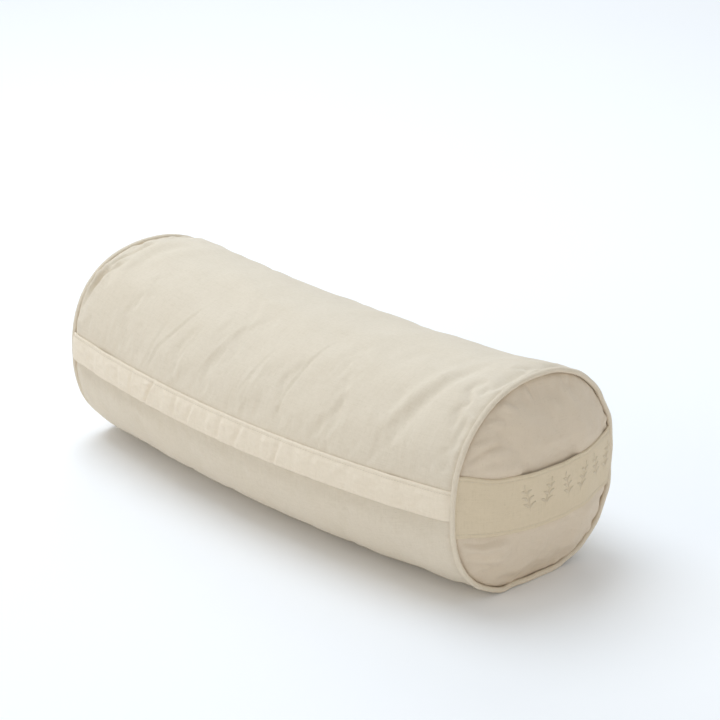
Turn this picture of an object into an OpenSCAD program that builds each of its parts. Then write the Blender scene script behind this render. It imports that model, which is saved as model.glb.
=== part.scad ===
// Round floor bolster: a filled liner inside a piped canvas cover with a lapped side zip and a carry handle.
// Millimetres. +X runs along the pillow towards the handle, +Z is up, the zip is on the -Y side.
// The origin is the middle of the flat underside, halfway between the two end seams.

/* [Pillow] */
// Length from end seam to end seam
seam_len = 600; // [500:10:700]
// Width at half length
mid_w = 266; // [240:2:290]
// Height at half length
mid_h = 200; // [180:2:215]
// Width at the end seams
end_w = 224; // [210:2:236]
// Height at the end seams
end_h = 218; // [205:1:226]
// How far the handle end panel domes out of its seam
front_dome = 28; // [22:1:34]
// How far the other end panel domes out of its seam
rear_dome = 20; // [12:1:30]

/* [Cloth] */
// Thickness of the canvas
canvas_t = 1.2; // [0.8:0.1:1.4]
// Thickness of the liner cloth
liner_t = 0.8; // [0.5:0.1:1]
// Diameter of the piping over its sleeve
piping_d = 6; // [5:0.5:6]

/* [Zip] */
// Length of the closed teeth
zip_len = 484; // [400:2:500]
// Height of the zip above the floor at half length
zip_mid_z = 106; // [100:1:110]
// Height of the zip above the floor at the end seams
zip_end_z = 113; // [107:1:117]
// Width of the flap that covers the zip
flap_w = 30; // [28:1:32]

/* [Handle] */
// Width of the webbing
handle_w = 60; // [50:1:66]
// Height of the webbing's middle line above the floor
handle_z = 105; // [100:1:108]
// Gap between the webbing and the end panel at its middle
handle_gap = 7; // [6:0.5:9]
// Thickness of the webbing
handle_t = 1.8; // [1.4:0.1:2.2]

/* [Hidden] */

canvas_colour = [0.87, 0.83, 0.76];
shade_colour = [0.80, 0.75, 0.66];
liner_colour = [0.93, 0.92, 0.88];
filling_colour = [0.72, 0.62, 0.45];
tape_colour = [0.82, 0.77, 0.67];
metal_colour = [0.62, 0.60, 0.55];

half_len = seam_len / 2;
piping_r = piping_d / 2;
cord_r = piping_r - 1.15;
// Each cross-section is two half superellipses that meet at the waist
waist_mid_z = 95;
waist_end_z = 103;
upper_power = 2.2;
lower_power_mid = 2.9;
lower_power_end = 2.4;
// Depth that resting on the floor takes off the underside
flat_drop = 2;
dome_power = 2.5;

// Clearances between sewn layers
layer_gap = 0.3;
panel_end_x = half_len - piping_r - 0.1;
rim_offset = piping_r + 0.2;
rim_floor = piping_d + 0.4;
hem_t = 2 * canvas_t;
liner_offset = canvas_t + 1.8;
filling_gap = 0.2;
filling_offset = liner_offset + liner_t + filling_gap;
rim_step = 0.6;
rim_floor_step = 0.4;
filling_rim_step = 1.6;
filling_end_gap = 0.5;

// Places across the zip, measured from its middle line up the cover
edge_v = 7.5;
hem_v = 15;
hem_step = 1.5;
channel_v = [28, 17, 8, 0, -8, -17, -28];
channel_depth = [0, 3.2, 4.6, 4.6, 4.6, 3.2, 0];

function share(x) = pow(x / half_len, 2);
function between(a, b, k) = a + (b - a) * k;
function half_w(x) = between(mid_w, end_w, share(x)) / 2;
function top_z(x) = between(mid_h, end_h, share(x));
function waist_z(x) = between(waist_mid_z, waist_end_z, share(x));
function lower_power(x) = between(lower_power_mid, lower_power_end, share(x));
function zip_z(x) = between(zip_mid_z, zip_end_z, share(x));
function raise(b, e) = b <= 0 ? 0 : pow(b, e);

// Point of the cross-section at x, at angle th, moved inwards by d and kept above floor_z
function section(x, th, d, floor_z) =
    let (c = cos(th), s = sin(th), upper = s >= 0, zw = waist_z(x),
        n = upper ? upper_power : lower_power(x),
        reach = upper ? top_z(x) - zw - d : zw + flat_drop - d,
        z = zw + sign(s) * reach * raise(abs(s), 2 / n))
    [x, (half_w(x) - d) * sign(c) * raise(abs(c), 2 / n), max(z, floor_z)];

// Angle on the zip side at which the cross-section at x has height z
function side_angle(x, z) =
    let (zw = waist_z(x), upper = z >= zw,
        n = upper ? upper_power : lower_power(x),
        k = upper ? (z - zw) / (top_z(x) - zw) : (zw - z) / (zw + flat_drop),
        turn = asin(raise(k, n / 2)))
    180 + (upper ? -turn : turn);
function zip_angle(x, v) = side_angle(x, zip_z(x) + v);
function spread(a, b, n) = [for (i = [0 : n]) a + (b - a) * i / n];

// The zip line is an arc in a plane that tilts up towards its centre
mid_point = section(0, zip_angle(0, 0), 0, 0);
end_point = section(half_len, zip_angle(half_len, 0), 0, 0);
arc_dy = end_point[1] - mid_point[1];
arc_dz = end_point[2] - mid_point[2];
arc_sag = norm([arc_dy, arc_dz]);
arc_tilt = atan2(arc_dz, arc_dy);
arc_r = (half_len * half_len + arc_sag * arc_sag) / (2 * arc_sag);
surface_lean = 5.3;
slider_x = 228;
slider_angle = asin(slider_x / arc_r);
teeth_angle = asin(zip_len / 2 / arc_r);
stop_turn = 0.11;
stop_len = 0.1;
stop_size = [2.4, 4.6];
tape_gap = 0.45;
tape_out_u = -hem_t - tape_gap;
tape_in_u = tape_out_u - liner_t;
tape_near_v = 2.65;
tape_far_v = 13.5;
tape_end_turn = 0.5;
teeth_r = 1.05;
teeth_v = 1.55;
chain_u = (tape_out_u + tape_in_u) / 2;

// A solid between two grids of points: outer[i][j] and inner[i][j]
function grid_points(outer, inner) = concat([for (row = outer) each row], [for (row = inner) each row]);
function quad(a, b, c, d, flip) = flip ? [[a, b, c], [a, c, d]] : [[a, c, b], [a, d, c]];
function skin_faces(rows, cols, wrap, base, flip) =
    [for (i = [0 : rows - 2]) for (j = [0 : wrap ? cols - 1 : cols - 2])
        let (k = (j + 1) % cols)
        each quad(base + i * cols + j, base + i * cols + k, base + (i + 1) * cols + k,
            base + (i + 1) * cols + j, flip)];
function row_edge(row, cols, wrap, base, flip) =
    [for (j = [0 : wrap ? cols - 1 : cols - 2])
        let (k = (j + 1) % cols)
        each quad(row * cols + j, row * cols + k, base + row * cols + k, base + row * cols + j, flip)];
function column_edge(col, rows, cols, base, flip) =
    [for (i = [0 : rows - 2])
        each quad(i * cols + col, (i + 1) * cols + col, base + (i + 1) * cols + col,
            base + i * cols + col, flip)];
function fan(row, cols, base, flip) =
    let (ring = [for (j = [0 : cols - 1]) base + row * cols + j])
    flip ? [for (j = [cols - 1 : -1 : 0]) ring[j]] : ring;

// A sheet of cloth: both skins and all its edges, or no side edges where it wraps round
module cloth(outer, inner, wrap = false, flip = false) {
    rows = len(outer);
    cols = len(outer[0]);
    base = rows * cols;
    sides = wrap ? [] : concat(column_edge(0, rows, cols, base, flip),
        column_edge(cols - 1, rows, cols, base, !flip));
    polyhedron(points = grid_points(outer, inner),
        faces = concat(skin_faces(rows, cols, wrap, 0, flip), skin_faces(rows, cols, wrap, base, !flip),
            row_edge(0, cols, wrap, base, !flip), row_edge(rows - 1, cols, wrap, base, flip), sides));
}

// A domed disc of cloth: the last row of each grid closes with a flat middle
module domed_cloth(outer, inner, flip = false) {
    rows = len(outer);
    cols = len(outer[0]);
    base = rows * cols;
    polyhedron(points = grid_points(outer, inner),
        faces = concat(skin_faces(rows, cols, true, 0, flip), skin_faces(rows, cols, true, base, !flip),
            row_edge(0, cols, true, base, !flip),
            [fan(rows - 1, cols, 0, !flip)], [fan(rows - 1, cols, base, flip)]));
}

// A closed ring of cross-sections
module ring_sweep(rings) {
    rows = len(rings);
    cols = len(rings[0]);
    polyhedron(points = [for (row = rings) each row],
        faces = [for (i = [0 : rows - 1]) for (j = [0 : cols - 1])
            let (n = (i + 1) % rows, k = (j + 1) % cols)
            each quad(i * cols + j, i * cols + k, n * cols + k, n * cols + j, true)]);
}

// Angles of the body panel from the upper zip edge over the top, back and underside to the lower one
panel_cols = 38;
function panel_angles(x) = concat([zip_angle(x, edge_v), zip_angle(x, hem_v)],
    spread(zip_angle(x, hem_v + hem_step), zip_angle(x, -hem_v - hem_step) - 360, panel_cols),
    [zip_angle(x, -hem_v) - 360, zip_angle(x, -edge_v) - 360]);
function panel_row(x, d, hem_d) =
    let (angles = panel_angles(x), last = len(angles) - 1)
    [for (j = [0 : last])
        let (t = j < 2 || j > last - 2 ? hem_d : d)
        section(x, angles[j], t, t)];

module body_panel() {
    stations = spread(-panel_end_x, panel_end_x, 18);
    color(canvas_colour)
        cloth([for (x = stations) panel_row(x, 0, 0)],
            [for (x = stations) panel_row(x, canvas_t, hem_t)], flip = true);
}

// One ring of a domed end: the end section shrunk by s about its middle
dome_rings = [1, 0.94, 0.85, 0.73, 0.58, 0.40, 0.2];
end_mid_z = end_h / 2;
function dome_row(side, x, s, dome, angles, depths, floor_z) =
    [for (j = [0 : len(angles) - 1])
        let (p = section(half_len, angles[j], depths[j], floor_z))
        [side * (x + dome * (1 - pow(s, dome_power))), p[1] * s, end_mid_z + (p[2] - end_mid_z) * s]];
function even_angles(n) = [for (i = [0 : n - 1]) i * 360 / n];
function same(value, n) = [for (i = [1 : n]) value];

module domed_disc(side, x, dome, offset, floor_z, t, cols) {
    angles = even_angles(cols);
    outer_depths = same(offset, cols);
    inner_depths = same(offset + t, cols);
    outer = [for (s = dome_rings) dome_row(side, x, s, dome, angles, outer_depths, floor_z)];
    inner = [for (s = dome_rings) dome_row(side, x - t, s, dome, angles, inner_depths, floor_z + t)];
    domed_cloth(outer, inner, side < 0);
}

module front_end_panel() {
    color(shade_colour) domed_disc(1, half_len, front_dome, rim_offset, rim_floor, canvas_t, 44);
}

module rear_end_panel() {
    color(shade_colour) domed_disc(-1, half_len, rear_dome, rim_offset, rim_floor, canvas_t, 44);
}

// The seam line that the piping follows, and the outward normal at each of its points
ring_count = 56;
function seam_point(i) = section(half_len, i * 360 / ring_count, 0, piping_r);
function seam_normal(i) =
    let (d = seam_point(i + 1) - seam_point(i - 1), n = [0, d[2], -d[1]])
    n / norm(n);
function seam_ring(side, i, profile) =
    let (p = seam_point(i), n = seam_normal(i))
    [for (q = profile) [side * half_len + q[1], p[1] + n[1] * q[0], p[2] + n[2] * q[0]]];
// The sleeve wraps the cord and stays open where its two edges go into the seam
sleeve_t = 0.85;
sleeve_wrap = 150;
sleeve_profile = concat([for (a = spread(-sleeve_wrap, sleeve_wrap, 8)) piping_r * [cos(a), sin(a)]],
    [for (a = spread(sleeve_wrap, -sleeve_wrap, 8)) (piping_r - sleeve_t) * [cos(a), sin(a)]]);
cord_profile = [for (a = even_angles(8)) cord_r * [cos(a), sin(a)]];

module piping(side, profile) {
    ring_sweep([for (i = [0 : ring_count - 1]) seam_ring(side, i, profile)]);
}

module front_piping_sleeve() {
    color(shade_colour) piping(1, sleeve_profile);
}

module front_piping_cord() {
    color(liner_colour) piping(1, cord_profile);
}

module rear_piping_sleeve() {
    color(shade_colour) piping(-1, sleeve_profile);
}

module rear_piping_cord() {
    color(liner_colour) piping(-1, cord_profile);
}

// Local frame of the zip at a turn along its arc: x out of the cover, y along the zip, z up the cover
module on_zip(turn) {
    translate(mid_point) rotate([arc_tilt, 0, 0]) rotate([0, 0, -90]) translate([-arc_r, 0, 0])
        rotate([0, 0, turn]) translate([arc_r, 0, 0]) rotate([0, -arc_tilt - surface_lean, 0]) children();
}

// Sweeps a profile along the zip's arc, with x out of the cover and y up it
module along_zip(from, to) {
    translate(mid_point) rotate([arc_tilt, 0, 0]) rotate([0, 0, -90]) translate([-arc_r, 0, 0])
        rotate([0, 0, from]) rotate_extrude(angle = to - from, $fn = 1440)
            translate([arc_r, 0]) rotate(arc_tilt + surface_lean) children();
}

// Depth of the cover's outside below the zip's tangent plane, at a place across the zip
function fall(v) =
    let (z = zip_mid_z + v * cos(surface_lean), p = section(0, side_angle(0, z), 0, 0),
        dy = p[1] - mid_point[1], dz = p[2] - mid_point[2])
    -dy * cos(surface_lean) + dz * sin(surface_lean);

module tape_profile(side) {
    places = spread(tape_near_v, tape_far_v, 4);
    polygon(concat([for (v = places) [fall(side * v) + tape_out_u, side * v]],
        [for (i = [4 : -1 : 0]) [fall(side * places[i]) + tape_in_u, side * places[i]]]));
}

module zip_tape_upper() {
    color(tape_colour) along_zip(-teeth_angle - tape_end_turn, teeth_angle + tape_end_turn) tape_profile(1);
}

module zip_tape_lower() {
    color(tape_colour) along_zip(-teeth_angle - tape_end_turn, teeth_angle + tape_end_turn) tape_profile(-1);
}

module teeth_row(side) {
    along_zip(-teeth_angle, teeth_angle) translate([chain_u, side * teeth_v]) circle(teeth_r, $fn = 24);
}

module zip_teeth_upper() {
    color(tape_colour) teeth_row(1);
}

module zip_teeth_lower() {
    color(tape_colour) teeth_row(-1);
}

module stop_block(turn) {
    along_zip(turn, turn + stop_len) translate([chain_u, 0]) square(stop_size, center = true);
}

module zip_top_stop() {
    color(metal_colour) stop_block(teeth_angle + stop_turn - stop_len);
}

module zip_bottom_stop() {
    color(metal_colour) stop_block(-teeth_angle - stop_turn);
}

// Plate normal to the cover, from u0 outwards; its outline has x along the zip and y up the cover
module plate(u0, t) {
    translate([u0, 0, 0]) rotate([90, 0, 90]) linear_extrude(t) children();
}

module round_box(w, h, r) {
    square([w - 2 * r, h], center = true);
    square([w, h - 2 * r], center = true);
    for (sx = [-1, 1])
        for (sy = [-1, 1])
            translate([sx * (w / 2 - r), sy * (h / 2 - r)]) circle(r, $fn = 24);
}

slider_l = 12;
slider_w = 9.2;
plate_t = 0.9;
cavity = 1.55;
flange_w = 1.2;
flange_h = 0.85;
web_t = 0.5;
flange_l = 8;
web_l = 5;
web_x = 2;
post_r = 1;
cap_r = 1.7;
cap_t = 0.35;
cap_gap = 0.08;
pull_u = 0.05;
pull_t = 0.8;
pull_len = 10;
pull_eye_r = 2.5;
pull_tip_r = 1.7;
pull_play = 0.06;
pull_hole_r = 0.8;
plate_top_u = chain_u + cavity + plate_t;
cap_u = pull_u + pull_t + cap_gap;

module zip_slider() {
    color(metal_colour) on_zip(slider_angle) {
        for (u0 = [chain_u + cavity, chain_u - cavity - plate_t])
            plate(u0, plate_t) round_box(slider_l, slider_w, 2);
        for (u0 = [chain_u + cavity - flange_h, chain_u - cavity])
            plate(u0, flange_h)
                for (s = [-1, 1])
                    translate([0, s * (slider_w - flange_w) / 2]) square([flange_l, flange_w], center = true);
        plate(chain_u - cavity, 2 * cavity) translate([web_x, 0]) square([web_l, web_t], center = true);
        translate([plate_top_u, 0, 0]) rotate([0, 90, 0])
            cylinder(r = post_r, h = cap_u - plate_top_u, $fn = 32);
        translate([cap_u, 0, 0]) rotate([0, 90, 0]) cylinder(r = cap_r, h = cap_t, $fn = 32);
    }
}

module zip_pull() {
    color(metal_colour) on_zip(slider_angle) plate(pull_u, pull_t) difference() {
        union() {
            circle(pull_eye_r, $fn = 32);
            translate([-pull_tip_r, -pull_len]) square([2 * pull_tip_r, pull_len]);
            translate([0, -pull_len]) circle(pull_tip_r, $fn = 32);
        }
        circle(post_r + pull_play, $fn = 32);
        translate([0, -pull_len]) circle(pull_hole_r, $fn = 24);
    }
}

// The flap lies over the zip: sewn down along its upper edge, free along its lower edge
flap_v = [0.5, 0.36, 0.2, 0, -0.2, -0.38, -0.5];
flap_lift = [0.8, 1.1, 1.9, 1.95, 1.95, 1.85, 1.3];
flap_t = 1.6;
flap_half_len = 180;
function flap_row(x, up) =
    [for (j = [0 : len(flap_v) - 1]) section(x, zip_angle(x, flap_v[j] * flap_w), -flap_lift[j] - up, 0)];

module flap(from, to, steps) {
    stations = spread(from, to, steps);
    color(canvas_colour) cloth([for (x = stations) flap_row(x, flap_t)], [for (x = stations) flap_row(x, 0)]);
}

module placket_strip() {
    flap(-flap_half_len, flap_half_len, 18);
}

module placket_end_front() {
    flap(flap_half_len + layer_gap, panel_end_x, 7);
}

module placket_end_rear() {
    flap(-panel_end_x, -flap_half_len - layer_gap, 7);
}

// Plan of the webbing: an arc that starts beside the piping and stands off the dome at its middle
strap_half = end_w / 2 - 6;
strap_foot_step = 2.3;
strap_foot_x = half_len + strap_foot_step;
strap_rise = front_dome + handle_gap - strap_foot_step;
strap_power = 2.2;
strap_mid_half = 40;
function strap_x(y) = strap_foot_x + strap_rise * (1 - pow(abs(y) / strap_half, strap_power));

strap_steps = 16;
module webbing(from, to) {
    places = spread(from, to, strap_steps);
    color(shade_colour) translate([0, 0, handle_z - handle_w / 2]) linear_extrude(handle_w)
        polygon(concat([for (y = places) [strap_x(y), y]],
            [for (i = [strap_steps : -1 : 0]) [strap_x(places[i]) + handle_t, places[i]]]));
}

module handle_strap() {
    webbing(-strap_mid_half, strap_mid_half);
}

module handle_end_left() {
    webbing(-strap_half, -strap_mid_half - layer_gap);
}

module handle_end_right() {
    webbing(strap_mid_half + layer_gap, strap_half);
}

// Blank care label, lying between cover and liner below the zip
label_x = [-215, -185];
label_v = [-24, -31, -39, -48];
label_offset = canvas_t + 0.9;
label_t = 0.4;
module care_label() {
    stations = spread(label_x[0], label_x[1], 3);
    function label_row(x, d) = [for (v = label_v) section(x, zip_angle(x, v), d, 0)];
    color(liner_colour)
        cloth([for (x = stations) label_row(x, label_offset)],
            [for (x = stations) label_row(x, label_offset + label_t)]);
}

// Liner and filling keep a channel behind the zip, so that the slider runs free
liner_cols = 32;
function liner_angles(x) = concat([for (v = channel_v) zip_angle(x, v)],
    [for (k = [1 : liner_cols]) between(zip_angle(x, channel_v[6]), zip_angle(x, channel_v[0]) + 360,
        k / (liner_cols + 1))]);
function liner_depths(d) = concat([for (c = channel_depth) d + c], same(d, liner_cols));
function liner_row(x, d) =
    let (angles = liner_angles(x), depths = liner_depths(d))
    [for (j = [0 : len(angles) - 1]) section(x, angles[j], depths[j], d)];

liner_end_x = half_len - piping_r - 0.5;
module liner_body() {
    stations = spread(-liner_end_x, liner_end_x, 12);
    color(liner_colour) cloth([for (x = stations) liner_row(x, liner_offset)],
        [for (x = stations) liner_row(x, liner_offset + liner_t)], wrap = true);
}

liner_disc_x = half_len - 2.5;
module liner_front_disc() {
    color(liner_colour)
        domed_disc(1, liner_disc_x, front_dome, rim_offset + rim_step, rim_floor + rim_floor_step, liner_t, 36);
}

module liner_rear_disc() {
    color(liner_colour)
        domed_disc(-1, liner_disc_x, rear_dome, rim_offset + rim_step, rim_floor + rim_floor_step, liner_t, 36);
}

// The loose fill is one closed body
module filling() {
    stations = spread(-liner_end_x + 2, liner_end_x - 2, 12);
    angles = liner_angles(half_len);
    depths = liner_depths(filling_offset + filling_rim_step);
    end_x = liner_disc_x - liner_t - filling_end_gap;
    fill_floor = rim_floor + filling_rim_step;
    rings = concat([for (i = [len(dome_rings) - 1 : -1 : 0])
            dome_row(-1, end_x, dome_rings[i], rear_dome, angles, depths, fill_floor)],
        [for (x = stations) liner_row(x, filling_offset)],
        [for (s = dome_rings) dome_row(1, end_x, s, front_dome, angles, depths, fill_floor)]);
    rows = len(rings);
    cols = len(angles);
    color(filling_colour) polyhedron(points = [for (row = rings) each row],
        faces = concat(skin_faces(rows, cols, true, 0, false), [fan(0, cols, 0, false)],
            [fan(rows - 1, cols, 0, true)]));
}

body_panel();
front_end_panel();
rear_end_panel();
front_piping_sleeve();
front_piping_cord();
rear_piping_sleeve();
rear_piping_cord();
zip_tape_upper();
zip_tape_lower();
zip_teeth_upper();
zip_teeth_lower();
zip_top_stop();
zip_bottom_stop();
zip_slider();
zip_pull();
placket_strip();
placket_end_front();
placket_end_rear();
handle_strap();
handle_end_left();
handle_end_right();
care_label();
liner_body();
liner_front_disc();
liner_rear_disc();
filling();
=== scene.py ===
import math

import bpy
import numpy as np
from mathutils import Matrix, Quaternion, Vector


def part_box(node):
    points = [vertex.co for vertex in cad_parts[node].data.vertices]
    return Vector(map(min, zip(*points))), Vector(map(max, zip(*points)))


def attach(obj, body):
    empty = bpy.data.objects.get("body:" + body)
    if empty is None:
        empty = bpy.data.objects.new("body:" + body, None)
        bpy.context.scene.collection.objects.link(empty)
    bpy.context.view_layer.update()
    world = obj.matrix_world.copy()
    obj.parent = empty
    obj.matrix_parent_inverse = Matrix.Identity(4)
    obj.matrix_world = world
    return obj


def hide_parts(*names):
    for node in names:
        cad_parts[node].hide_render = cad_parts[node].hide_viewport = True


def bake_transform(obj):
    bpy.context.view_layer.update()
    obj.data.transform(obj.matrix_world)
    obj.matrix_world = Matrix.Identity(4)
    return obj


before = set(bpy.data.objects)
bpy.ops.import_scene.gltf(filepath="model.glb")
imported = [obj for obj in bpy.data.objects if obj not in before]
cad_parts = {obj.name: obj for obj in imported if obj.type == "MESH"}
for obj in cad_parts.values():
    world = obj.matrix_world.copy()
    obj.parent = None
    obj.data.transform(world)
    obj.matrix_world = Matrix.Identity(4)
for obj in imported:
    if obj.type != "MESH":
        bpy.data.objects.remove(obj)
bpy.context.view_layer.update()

# ------------------------ sizes, in metres

PIPING_R = 0.003
SEAM_X = sum(corner.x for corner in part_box("front_piping_sleeve")) / 2
END_HALF_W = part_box("front_piping_sleeve")[1].y - PIPING_R
END_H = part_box("front_piping_sleeve")[1].z - PIPING_R
MID_HALF_W = -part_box("body_panel")[0].y
MID_H = 0.200
# Each cross-section is two half superellipses that meet at the waist, as in the CAD model
WAIST_MID_Z = 0.095
WAIST_END_Z = 0.103
UPPER_POWER = 2.2
LOWER_POWER_MID = 2.9
LOWER_POWER_END = 2.4
FLAT_DROP = 0.002
REAR_DROP = 0.006
REAR_DROP_SPAN = 0.036
FRONT_DOME = 0.0312
REAR_DOME = 0.020
DOME_POWER = 2.5
DOME_MID_Z = END_H / 2
CANVAS_T = 0.0012

ZIP_MID_Z = 0.106
ZIP_END_Z = 0.113
ZIP_OPENING = 0.0075
HEM_V = 0.015

FLAP_W = 0.030
FLAP_HALF_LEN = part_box("placket_strip")[1].x
FLAP_TOP_Z = 0.121
FLAP_EDGE_Z = 0.0935

STRAP_W = 0.060
STRAP_LOW_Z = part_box("handle_strap")[0].z
STRAP_MID_Z = STRAP_LOW_Z + STRAP_W / 2
STRAP_OUT_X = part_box("handle_strap")[1].x
STRAP_MID_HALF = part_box("handle_strap")[1].y
STRAP_T = 0.0018
STRAP_FOOT_X = 0.2992
STRAP_END_IN = 0.0026
STRAP_POWER = 2.2

FLOOR_GAP = 0.0003
ROUND_STEPS = 1440


# ------------------------ the camera, at the photograph's angle

CAMERA_TURN = math.radians(47.53)
CAMERA_RISE = math.radians(21.09)
CAMERA_ROLL = math.radians(-0.37)
CAMERA_AWAY = 2.547
CAMERA_TARGET = Vector((-0.0170, 0.0630, 0.1265))
LENS_MM = 118.37


def from_target(turn, rise, away):
    """The point that lies away from the target, at a turn from -Y and a rise above the floor."""
    level = math.cos(rise)
    return CAMERA_TARGET + away * Vector((math.sin(turn) * level, -math.cos(turn) * level, math.sin(rise)))


def aimed(thing, spot, roll=0.0):
    """Puts a camera or light at a spot, looking at the target."""
    thing.location = spot
    facing = (spot - CAMERA_TARGET).to_track_quat("Z", "Y") @ Quaternion((0, 0, 1), roll)
    thing.rotation_euler = facing.to_euler()
    bpy.context.scene.collection.objects.link(thing)
    return thing


def make_camera():
    data = bpy.data.cameras.new("camera")
    data.lens = LENS_MM
    data.sensor_width = 36
    data.clip_end = 60
    spot = from_target(CAMERA_TURN, CAMERA_RISE, CAMERA_AWAY)
    bpy.context.scene.camera = aimed(bpy.data.objects.new("camera", data), spot, CAMERA_ROLL)


# ------------------------ small tools


def lerp(a, b, k):
    return a + (b - a) * k


def smooth(k):
    k = np.clip(k, 0, 1)
    return k * k * (3 - 2 * k)


def unit(vectors):
    return vectors / np.linalg.norm(vectors, axis=-1, keepdims=True)


def hump(distance, span):
    return np.exp(-((distance / span) ** 2))


def ripples(u, v, wavelength, seed, height=1.0, waves=16):
    """Smooth seeded unevenness, mostly within the height, whose waves are near one length."""
    rng = np.random.default_rng(seed)
    total = np.zeros(np.broadcast(u, v).shape)
    for _ in range(waves):
        turn, phase = rng.uniform(0, 2 * math.pi, 2)
        number = 2 * math.pi / (wavelength * rng.uniform(0.7, 1.5))
        total += np.sin(number * (u * math.cos(turn) + v * math.sin(turn)) + phase)
    return height * total / math.sqrt(waves)


def crease(u, v, points, depth, width, lift):
    """A fold along a path of (u, v) points: a valley that fades at both ends, and a ridge on its left."""
    lengths = np.linalg.norm(np.diff(points, axis=0), axis=1)
    nearest = np.full(np.shape(u), 1e9)
    run = np.zeros(np.shape(u))
    side = np.zeros(np.shape(u))
    before = 0.0
    for (au, av), (bu, bv), length in zip(points[:-1], points[1:], lengths):
        du, dv = (bu - au) / length, (bv - av) / length
        along = np.clip((u - au) * du + (v - av) * dv, 0, length)
        off = np.hypot(u - au - along * du, v - av - along * dv)
        closer = off < nearest
        nearest = np.where(closer, off, nearest)
        run = np.where(closer, (before + along) / lengths.sum(), run)
        side = np.where(closer, np.sign(du * (v - av) - dv * (u - au)), side)
        before += length
    fade = np.sin(math.pi * run) ** 0.7
    reach = nearest / width
    return fade * (lift * hump(side * reach - 1.7, 1) - depth * hump(reach, 1))


def creases(u, v, folds):
    """All the folds of a table, whose (path, depth, width, lift) are in millimetres."""
    total = 0.0
    for path, *sizes in folds:
        total = total + crease(u, v, np.array(path) / 1000, *(size / 1000 for size in sizes))
    return total


def new_mesh(name, points, faces, weave=None):
    """A mesh piece; weave gives each point its place in the cloth, which the woven materials read."""
    mesh = bpy.data.meshes.new(name)
    mesh.from_pydata(np.asarray(points).reshape(-1, 3).tolist(), [], faces)
    if weave is not None:
        flat = np.zeros((len(mesh.vertices), 3), np.float32)
        weave = np.asarray(weave, np.float32)
        flat[:, : weave.shape[-1]] = weave.reshape(-1, weave.shape[-1])
        mesh.attributes.new("weave", "FLOAT_VECTOR", "POINT").data.foreach_set("vector", flat.ravel())
    mesh.validate()
    mesh.update()
    piece = bpy.data.objects.new(name, mesh)
    bpy.context.scene.collection.objects.link(piece)
    return piece


def closed_mesh(name, points, faces, weave=None):
    """A closed mesh piece, turned right side out."""
    piece = new_mesh(name, points, faces, weave)
    mesh = piece.data
    mesh.calc_loop_triangles()
    corners = read(mesh.vertices)[np.array([t.vertices for t in mesh.loop_triangles])]
    if np.einsum("ij,ij->", corners[:, 0], np.cross(corners[:, 1], corners[:, 2])) < 0:
        mesh.flip_normals()
    return piece


def grid_faces(rows, cols, wrap_rows=False, wrap_cols=False, flip=False, base=0):
    """Four-sided faces between neighbouring points of a grid, which may close on itself either way."""
    faces = []
    for i in range(rows if wrap_rows else rows - 1):
        for j in range(cols if wrap_cols else cols - 1):
            k, n = (j + 1) % cols, (i + 1) % rows
            face = (base + i * cols + j, base + i * cols + k, base + n * cols + k, base + n * cols + j)
            faces.append(face[::-1] if flip else face)
    return faces


def capped_faces(rows, cols, base=0):
    """Faces of a tube of rows rings, closed at both ends."""
    faces = grid_faces(rows, cols, wrap_cols=True, base=base)
    faces.append(tuple(range(base, base + cols))[::-1])
    faces.append(tuple(range(base + (rows - 1) * cols, base + rows * cols)))
    return faces


def angles_round(sides):
    return np.arange(sides) * 2 * math.pi / sides


def rings_round(path, first, second, radii, sides):
    """Rings of points round a path, in the plane of two directions."""
    angles = angles_round(sides)
    first_part = (radii * np.cos(angles))[..., None] * first[:, None]
    return path[:, None] + first_part + (radii * np.sin(angles))[..., None] * second[:, None]


def read(items, key="co"):
    """The vectors of a mesh's vertices, normals or attribute."""
    flat = np.empty(len(items) * 3)
    items.foreach_get(key, flat)
    return flat.reshape(-1, 3)


def move_points(piece, points):
    piece.data.vertices.foreach_set("co", np.asarray(points, float).ravel())
    piece.data.update()


def modified(piece, kind, **settings):
    """Adds a modifier and applies it."""
    modifier = piece.modifiers.new("shape", kind)
    for key, value in settings.items():
        setattr(modifier, key, value)
    shown = piece.evaluated_get(bpy.context.evaluated_depsgraph_get())
    mesh = bpy.data.meshes.new_from_object(shown)
    piece.modifiers.clear()
    piece.data = mesh


def shaded(piece, material):
    piece.data.materials.clear()
    piece.data.materials.append(material)
    piece.data.shade_smooth()


def on_cover(piece, material, node):
    shaded(piece, material)
    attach(piece, "cover")
    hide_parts(node)


def bent(piece, material, slot, body, line, capped=False):
    """Finishes a piece with its material and smooth shading, flat end caps if capped, and its transform baked
    in; it does not bend it, and body and line are not used.
    """
    shaded(piece, material)
    if capped:
        sharpen_ends(piece)
    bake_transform(piece)


# ------------------------ the shape of the cover


def near_end(x):
    return np.minimum((x / SEAM_X) ** 2, 1.0)


def section(x, turn, out=0.0):
    """Points of the cover's cross-section at x and angle turn, moved outwards by out."""
    near = near_end(x)
    cosine, sine = np.cos(turn), np.sin(turn)
    upper = sine >= 0
    waist = lerp(WAIST_MID_Z, WAIST_END_Z, near)
    power = np.where(upper, UPPER_POWER, lerp(LOWER_POWER_MID, LOWER_POWER_END, near))
    reach = np.where(upper, lerp(MID_H, END_H, near) - waist, waist + FLAT_DROP) + out
    y = (lerp(MID_HALF_W, END_HALF_W, near) + out) * np.sign(cosine) * np.abs(cosine) ** (2 / power)
    rise = np.abs(sine) ** (2 / power)
    z = waist + np.sign(sine) * reach * rise
    z = z - np.where(upper, REAR_DROP * rise**3, 0) * hump(x + SEAM_X, REAR_DROP_SPAN)
    return np.stack(np.broadcast_arrays(x, y, z), axis=-1)


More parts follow.
